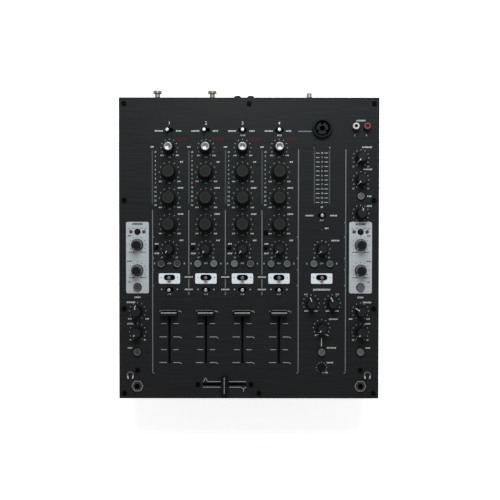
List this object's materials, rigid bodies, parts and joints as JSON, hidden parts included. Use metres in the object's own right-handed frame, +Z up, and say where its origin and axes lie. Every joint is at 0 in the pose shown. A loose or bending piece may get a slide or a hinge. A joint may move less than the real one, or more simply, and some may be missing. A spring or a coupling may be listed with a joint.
{
  "type": "dj mixer",
  "caption": "Table-top audio mixer with turning knobs, sliding faders, push buttons, lever switches and sockets on a flat black panel.",
  "frame": {"origin": "on the table under the middle of the overall box", "axes": "+X to the user's right, +Y to the rear, +Z up out of the control panel"},
  "size_m": [0.3216, 0.3832, 0.109],
  "materials": {
    "panel": "satin",
    "case_paint": "satin",
    "foot_rubber": "matte",
    "screw": "satin",
    "board": "satin",
    "pot_metal": "satin",
    "switch_plastic": "satin",
    "meter_window": "gloss",
    "socket_black": "satin",
    "jack": "polished",
    "phono": "gloss",
    "connector_metal": "polished",
    "gain_knob": "satin",
    "rubber_knob": "matte",
    "small_knob": "satin",
    "filter_knob": "satin",
    "fader_cap": "satin",
    "button": "satin",
    "lever": "polished",
    "trim": "satin"
  },
  "bodies": {
    "case": {"face_panel": "panel", "chassis_frame": "case_paint", "bottom_cover": "case_paint", "rear_panel": "case_paint", "rubber_feet": "foot_rubber", "case_screws": "screw", "circuit_board": "board", "potentiometers": "pot_metal", "switch_bodies": "switch_plastic", "led_meters": "meter_window", "combo_socket": "socket_black", "headphone_jacks": "jack", "phono_jacks": "phono", "rear_connectors": "connector_metal", "mains_inlet": "socket_black"},
    "channel_fader_1": {"channel_fader_1": "fader_cap"},
    "channel_fader_2": {"channel_fader_2": "fader_cap"},
    "channel_fader_3": {"channel_fader_3": "fader_cap"},
    "channel_fader_4": {"channel_fader_4": "fader_cap"},
    "crossfader": {"crossfader": "fader_cap"},
    "push_buttons": {"push_buttons": "button"},
    "selector_levers": {"selector_levers": "lever"},
    "pre_post_levers": {"pre_post_levers": "lever"},
    "power_rocker": {"power_rocker": "socket_black"},
    "gain_knob_1": {"gain_knob_1": "gain_knob"},
    "high_knob_1": {"high_knob_1": "rubber_knob"},
    "mid_knob_1": {"mid_knob_1": "rubber_knob"},
    "low_knob_1": {"low_knob_1": "rubber_knob"},
    "effect_knob_1": {"effect_knob_1": "small_knob"},
    "gain_knob_2": {"gain_knob_2": "gain_knob"},
    "high_knob_2": {"high_knob_2": "rubber_knob"},
    "mid_knob_2": {"mid_knob_2": "rubber_knob"},
    "low_knob_2": {"low_knob_2": "rubber_knob"},
    "effect_knob_2": {"effect_knob_2": "small_knob"},
    "gain_knob_3": {"gain_knob_3": "gain_knob"},
    "high_knob_3": {"high_knob_3": "rubber_knob"},
    "mid_knob_3": {"mid_knob_3": "rubber_knob"},
    "low_knob_3": {"low_knob_3": "rubber_knob"},
    "effect_knob_3": {"effect_knob_3": "small_knob"},
    "gain_knob_4": {"gain_knob_4": "gain_knob"},
    "high_knob_4": {"high_knob_4": "rubber_knob"},
    "mid_knob_4": {"mid_knob_4": "rubber_knob"},
    "low_knob_4": {"low_knob_4": "rubber_knob"},
    "effect_knob_4": {"effect_knob_4": "small_knob"},
    "effect_return_knob": {"effect_return_knob": "small_knob"},
    "master_knob": {"master_knob": "small_knob"},
    "booth_knob": {"booth_knob": "small_knob"},
    "balance_knob": {"balance_knob": "small_knob"},
    "filter_knob_a": {"filter_knob_a": "filter_knob"},
    "resonance_knob_a": {"resonance_knob_a": "filter_knob"},
    "phones_source_knob_a": {"phones_source_knob_a": "small_knob"},
    "phones_level_knob_a": {"phones_level_knob_a": "small_knob"},
    "filter_knob_b": {"filter_knob_b": "filter_knob"},
    "resonance_knob_b": {"resonance_knob_b": "filter_knob"},
    "phones_source_knob_b": {"phones_source_knob_b": "small_knob"},
    "phones_level_knob_b": {"phones_level_knob_b": "small_knob"},
    "shape_knob_left": {"shape_knob_left": "small_knob"},
    "shape_knob_right": {"shape_knob_right": "small_knob"},
    "curve_knob": {"curve_knob": "small_knob"},
    "level_trim": {"level_trim": "trim"}
  },
  "joints": [
    {"name": "channel_fader_1_slide", "type": "slide", "parent": "case", "child": "channel_fader_1", "axis": [0, -1, 0], "range_m": [0, 0.06]},
    {"name": "channel_fader_2_slide", "type": "slide", "parent": "case", "child": "channel_fader_2", "axis": [0, -1, 0], "range_m": [0, 0.06]},
    {"name": "channel_fader_3_slide", "type": "slide", "parent": "case", "child": "channel_fader_3", "axis": [0, -1, 0], "range_m": [0, 0.06]},
    {"name": "channel_fader_4_slide", "type": "slide", "parent": "case", "child": "channel_fader_4", "axis": [0, -1, 0], "range_m": [0, 0.06]},
    {"name": "crossfader_slide", "type": "slide", "parent": "case", "child": "crossfader", "axis": [1, 0, 0], "range_m": [-0.0225, 0.0225]},
    {"name": "push_buttons_press", "type": "slide", "parent": "case", "child": "push_buttons", "axis": [0, 0, -1], "range_m": [0, 0.002], "stiffness_N_per_m": 400},
    {"name": "selector_levers_slide", "type": "slide", "parent": "case", "child": "selector_levers", "axis": [1, 0, 0], "range_m": [0, 0.002]},
    {"name": "pre_post_levers_slide", "type": "slide", "parent": "case", "child": "pre_post_levers", "axis": [0, -1, 0], "range_m": [0, 0.0024]},
    {"name": "power_rocker_tilt", "type": "hinge", "parent": "case", "child": "power_rocker", "pos_m": [0.132, 0.1783, 0.048], "axis": [1, 0, 0], "range_deg": [-14, 0]},
    {"name": "gain_knob_1_turn", "type": "hinge", "parent": "case", "child": "gain_knob_1", "pos_m": [-0.0985, 0.1189, 0.092], "axis": [0, 0, 1], "range_deg": [-150, 150]},
    {"name": "high_knob_1_turn", "type": "hinge", "parent": "case", "child": "high_knob_1", "pos_m": [-0.0985, 0.0888, 0.092], "axis": [0, 0, 1], "range_deg": [-150, 150]},
    {"name": "mid_knob_1_turn", "type": "hinge", "parent": "case", "child": "mid_knob_1", "pos_m": [-0.0985, 0.0568, 0.092], "axis": [0, 0, 1], "range_deg": [-150, 150]},
    {"name": "low_knob_1_turn", "type": "hinge", "parent": "case", "child": "low_knob_1", "pos_m": [-0.0985, 0.0245, 0.092], "axis": [0, 0, 1], "range_deg": [-150, 150]},
    {"name": "effect_knob_1_turn", "type": "hinge", "parent": "case", "child": "effect_knob_1", "pos_m": [-0.0985, -0.0061, 0.092], "axis": [0, 0, 1], "range_deg": [-292, 8]},
    {"name": "gain_knob_2_turn", "type": "hinge", "parent": "case", "child": "gain_knob_2", "pos_m": [-0.0533, 0.1189, 0.092], "axis": [0, 0, 1], "range_deg": [-150, 150]},
    {"name": "high_knob_2_turn", "type": "hinge", "parent": "case", "child": "high_knob_2", "pos_m": [-0.0533, 0.0888, 0.092], "axis": [0, 0, 1], "range_deg": [-150, 150]},
    {"name": "mid_knob_2_turn", "type": "hinge", "parent": "case", "child": "mid_knob_2", "pos_m": [-0.0533, 0.0568, 0.092], "axis": [0, 0, 1], "range_deg": [-150, 150]},
    {"name": "low_knob_2_turn", "type": "hinge", "parent": "case", "child": "low_knob_2", "pos_m": [-0.0533, 0.0245, 0.092], "axis": [0, 0, 1], "range_deg": [-150, 150]},
    {"name": "effect_knob_2_turn", "type": "hinge", "parent": "case", "child": "effect_knob_2", "pos_m": [-0.0533, -0.0061, 0.092], "axis": [0, 0, 1], "range_deg": [-292, 8]},
    {"name": "gain_knob_3_turn", "type": "hinge", "parent": "case", "child": "gain_knob_3", "pos_m": [-0.0081, 0.1189, 0.092], "axis": [0, 0, 1], "range_deg": [-150, 150]},
    {"name": "high_knob_3_turn", "type": "hinge", "parent": "case", "child": "high_knob_3", "pos_m": [-0.0081, 0.0888, 0.092], "axis": [0, 0, 1], "range_deg": [-150, 150]},
    {"name": "mid_knob_3_turn", "type": "hinge", "parent": "case", "child": "mid_knob_3", "pos_m": [-0.0081, 0.0568, 0.092], "axis": [0, 0, 1], "range_deg": [-150, 150]},
    {"name": "low_knob_3_turn", "type": "hinge", "parent": "case", "child": "low_knob_3", "pos_m": [-0.0081, 0.0245, 0.092], "axis": [0, 0, 1], "range_deg": [-150, 150]},
    {"name": "effect_knob_3_turn", "type": "hinge", "parent": "case", "child": "effect_knob_3", "pos_m": [-0.0081, -0.0061, 0.092], "axis": [0, 0, 1], "range_deg": [-292, 8]},
    {"name": "gain_knob_4_turn", "type": "hinge", "parent": "case", "child": "gain_knob_4", "pos_m": [0.0371, 0.1189, 0.092], "axis": [0, 0, 1], "range_deg": [-150, 150]},
    {"name": "high_knob_4_turn", "type": "hinge", "parent": "case", "child": "high_knob_4", "pos_m": [0.0371, 0.0888, 0.092], "axis": [0, 0, 1], "range_deg": [-150, 150]},
    {"name": "mid_knob_4_turn", "type": "hinge", "parent": "case", "child": "mid_knob_4", "pos_m": [0.0371, 0.0568, 0.092], "axis": [0, 0, 1], "range_deg": [-150, 150]},
    {"name": "low_knob_4_turn", "type": "hinge", "parent": "case", "child": "low_knob_4", "pos_m": [0.0371, 0.0245, 0.092], "axis": [0, 0, 1], "range_deg": [-150, 150]},
    {"name": "effect_knob_4_turn", "type": "hinge", "parent": "case", "child": "effect_knob_4", "pos_m": [0.0371, -0.0061, 0.092], "axis": [0, 0, 1], "range_deg": [-292, 8]},
    {"name": "effect_return_knob_turn", "type": "hinge", "parent": "case", "child": "effect_return_knob", "pos_m": [0.09, -0.0061, 0.092], "axis": [0, 0, 1], "range_deg": [-292, 8]},
    {"name": "master_knob_turn", "type": "hinge", "parent": "case", "child": "master_knob", "pos_m": [0.138, 0.1064, 0.092], "axis": [0, 0, 1], "range_deg": [-292, 8]},
    {"name": "booth_knob_turn", "type": "hinge", "parent": "case", "child": "booth_knob", "pos_m": [0.138, 0.0793, 0.092], "axis": [0, 0, 1], "range_deg": [-292, 8]},
    {"name": "balance_knob_turn", "type": "hinge", "parent": "case", "child": "balance_knob", "pos_m": [0.138, 0.0381, 0.092], "axis": [0, 0, 1], "range_deg": [-136, 164]},
    {"name": "filter_knob_a_turn", "type": "hinge", "parent": "case", "child": "filter_knob_a", "pos_m": [-0.138, -0.0009, 0.092], "axis": [0, 0, 1], "range_deg": [-292, 8]},
    {"name": "resonance_knob_a_turn", "type": "hinge", "parent": "case", "child": "resonance_knob_a", "pos_m": [-0.138, -0.0325, 0.092], "axis": [0, 0, 1], "range_deg": [-292, 8]},
    {"name": "phones_source_knob_a_turn", "type": "hinge", "parent": "case", "child": "phones_source_knob_a", "pos_m": [-0.138, -0.0829, 0.092], "axis": [0, 0, 1], "range_deg": [-170, 130]},
    {"name": "phones_level_knob_a_turn", "type": "hinge", "parent": "case", "child": "phones_level_knob_a", "pos_m": [-0.138, -0.1089, 0.092], "axis": [0, 0, 1], "range_deg": [-292, 8]},
    {"name": "filter_knob_b_turn", "type": "hinge", "parent": "case", "child": "filter_knob_b", "pos_m": [0.138, -0.0009, 0.092], "axis": [0, 0, 1], "range_deg": [-292, 8]},
    {"name": "resonance_knob_b_turn", "type": "hinge", "parent": "case", "child": "resonance_knob_b", "pos_m": [0.138, -0.0325, 0.092], "axis": [0, 0, 1], "range_deg": [-292, 8]},
    {"name": "phones_source_knob_b_turn", "type": "hinge", "parent": "case", "child": "phones_source_knob_b", "pos_m": [0.138, -0.0829, 0.092], "axis": [0, 0, 1], "range_deg": [-210, 90]},
    {"name": "phones_level_knob_b_turn", "type": "hinge", "parent": "case", "child": "phones_level_knob_b", "pos_m": [0.138, -0.1089, 0.092], "axis": [0, 0, 1], "range_deg": [-292, 8]},
    {"name": "shape_knob_left_turn", "type": "hinge", "parent": "case", "child": "shape_knob_left", "pos_m": [0.0769, -0.073, 0.092], "axis": [0, 0, 1], "range_deg": [-160, 140]},
    {"name": "shape_knob_right_turn", "type": "hinge", "parent": "case", "child": "shape_knob_right", "pos_m": [0.1031, -0.073, 0.092], "axis": [0, 0, 1], "range_deg": [-164, 136]},
    {"name": "curve_knob_turn", "type": "hinge", "parent": "case", "child": "curve_knob", "pos_m": [0.09, -0.1035, 0.092], "axis": [0, 0, 1], "range_deg": [-292, 8]},
    {"name": "level_trim_turn", "type": "hinge", "parent": "case", "child": "level_trim", "pos_m": [0.09, -0.153, 0.092], "axis": [0, 0, 1], "range_deg": [-150, 150]}
  ]
}
